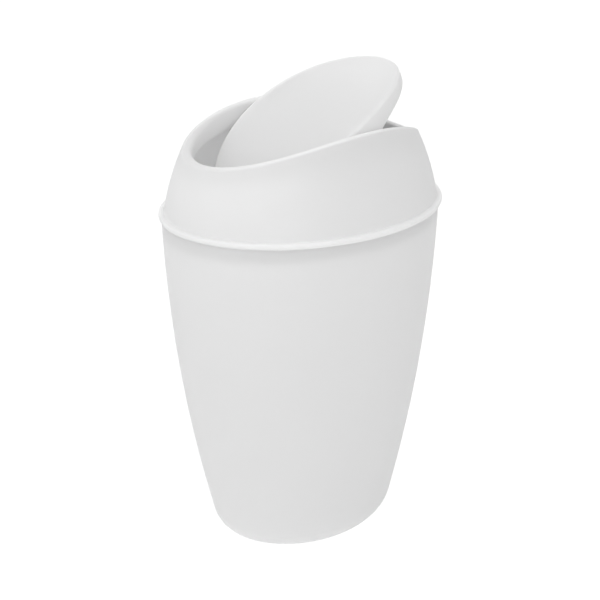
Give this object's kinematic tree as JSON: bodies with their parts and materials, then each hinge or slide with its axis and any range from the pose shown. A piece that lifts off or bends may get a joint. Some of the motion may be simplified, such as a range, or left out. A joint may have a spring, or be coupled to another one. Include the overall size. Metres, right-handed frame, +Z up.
{
  "type": "countertop trash can with swing lid",
  "caption": "Oval tapering countertop bin with a domed lift-off collar and an arched flap that swings on side pins in its opening.",
  "frame": {"origin": "centre of the flat underside of the foot, on the surface the bin stands on", "axes": "+Z up; Y along the long way of the oval, front of the opening towards -Y; X along the flap's pivot pins"},
  "size_m": [0.121, 0.1508, 0.2462],
  "materials": {
    "bin_plastic": "satin white polypropylene",
    "collar_plastic": "satin white polypropylene",
    "flap_plastic": "satin white polypropylene"
  },
  "bodies": {
    "bin": {"bin": "bin_plastic"},
    "collar": {"collar": "collar_plastic"},
    "flap": {"flap": "flap_plastic"}
  },
  "joints": [
    {"name": "collar_lift", "type": "slide", "parent": "bin", "child": "collar", "axis": [0, 0, 1], "range_m": [0, 0.08]},
    {"name": "flap_swing", "type": "hinge", "parent": "collar", "child": "flap", "pos_m": [0, 0.0004, 0.22055], "axis": [1, 0, 0], "continuous": true}
  ]
}
